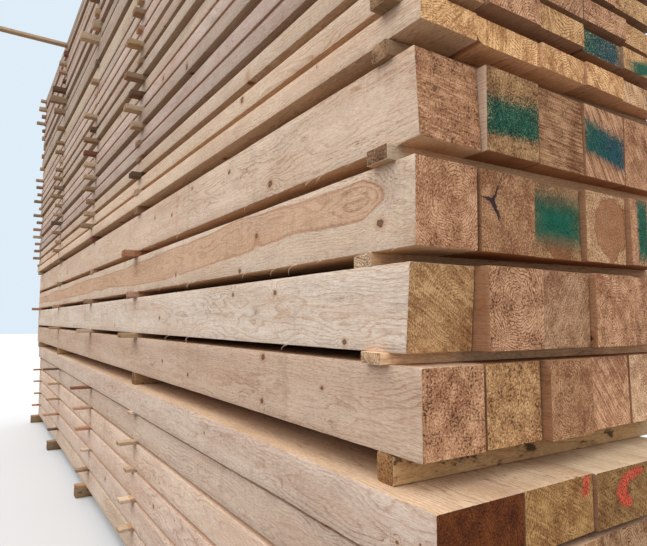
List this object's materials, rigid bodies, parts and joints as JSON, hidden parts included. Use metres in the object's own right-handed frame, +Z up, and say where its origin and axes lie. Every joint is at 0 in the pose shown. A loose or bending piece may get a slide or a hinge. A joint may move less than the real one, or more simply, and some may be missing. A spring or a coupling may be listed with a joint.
{
  "type": "stack of lumber",
  "caption": "Yard pile of sawn softwood in three packs: heavy planks, square beams and thin boards, with cross battens between the courses and bearers beneath.",
  "frame": {"origin": "on the ground, under the middle of the pile, at the centre of the middle ground bearer's underside", "axes": "+X along the timbers, away from the near ends; +Y towards the straight side; +Z up"},
  "size_m": [8.5235, 2.1896, 4.941],
  "materials": {
    "plank_wood": "rough sawn softwood, pale greyish pink, uncoated",
    "beam_wood": "rough sawn softwood, pale cream to pinkish beige, uncoated",
    "board_wood": "rough sawn softwood, pale beige, uncoated",
    "sticker_wood": "rough sawn batten, pale to brown, some splintered ends",
    "bearer_wood": "weathered sawn bearer with rounded lower edges"
  },
  "bodies": {
    "root": {"ground_bearer_1": "bearer_wood", "ground_bearer_2": "bearer_wood", "ground_bearer_3": "bearer_wood", "ground_bearer_4": "bearer_wood", "ground_bearer_5": "bearer_wood", "lower_course_1": "plank_wood", "lower_course_2": "plank_wood", "lower_course_3": "plank_wood", "lower_course_4": "plank_wood", "lower_course_5": "plank_wood", "lower_course_6": "plank_wood", "lower_stickers_1": "sticker_wood", "lower_stickers_2": "sticker_wood", "lower_stickers_3": "sticker_wood", "lower_stickers_4": "sticker_wood", "lower_stickers_5": "sticker_wood", "middle_bearer_1": "bearer_wood", "middle_bearer_2": "bearer_wood", "middle_bearer_3": "bearer_wood", "middle_bearer_4": "bearer_wood", "middle_course_1": "beam_wood", "middle_course_2": "beam_wood", "middle_course_3": "beam_wood", "middle_course_4": "beam_wood", "middle_stickers_1": "sticker_wood", "middle_stickers_2": "sticker_wood", "middle_stickers_3": "sticker_wood", "middle_stickers_4": "sticker_wood", "middle_stickers_5": "sticker_wood", "upper_course_01": "board_wood", "upper_course_02": "board_wood", "upper_course_03": "board_wood", "upper_course_04": "board_wood", "upper_course_05": "board_wood", "upper_course_06": "board_wood", "upper_course_07": "board_wood", "upper_course_08": "board_wood", "upper_course_09": "board_wood", "upper_course_10": "board_wood", "upper_course_11": "board_wood", "upper_course_12": "board_wood", "upper_course_13": "board_wood", "upper_course_14": "board_wood", "upper_course_15": "board_wood", "upper_course_16": "board_wood", "upper_course_17": "board_wood", "upper_course_18": "board_wood", "upper_course_19": "board_wood", "upper_course_20": "board_wood", "upper_course_21": "board_wood", "upper_course_22": "board_wood", "upper_course_23": "board_wood", "upper_stickers_1": "sticker_wood", "upper_stickers_2": "sticker_wood", "upper_stickers_3": "sticker_wood", "upper_stickers_4": "sticker_wood", "upper_stickers_5": "sticker_wood"}
  },
  "joints": []
}
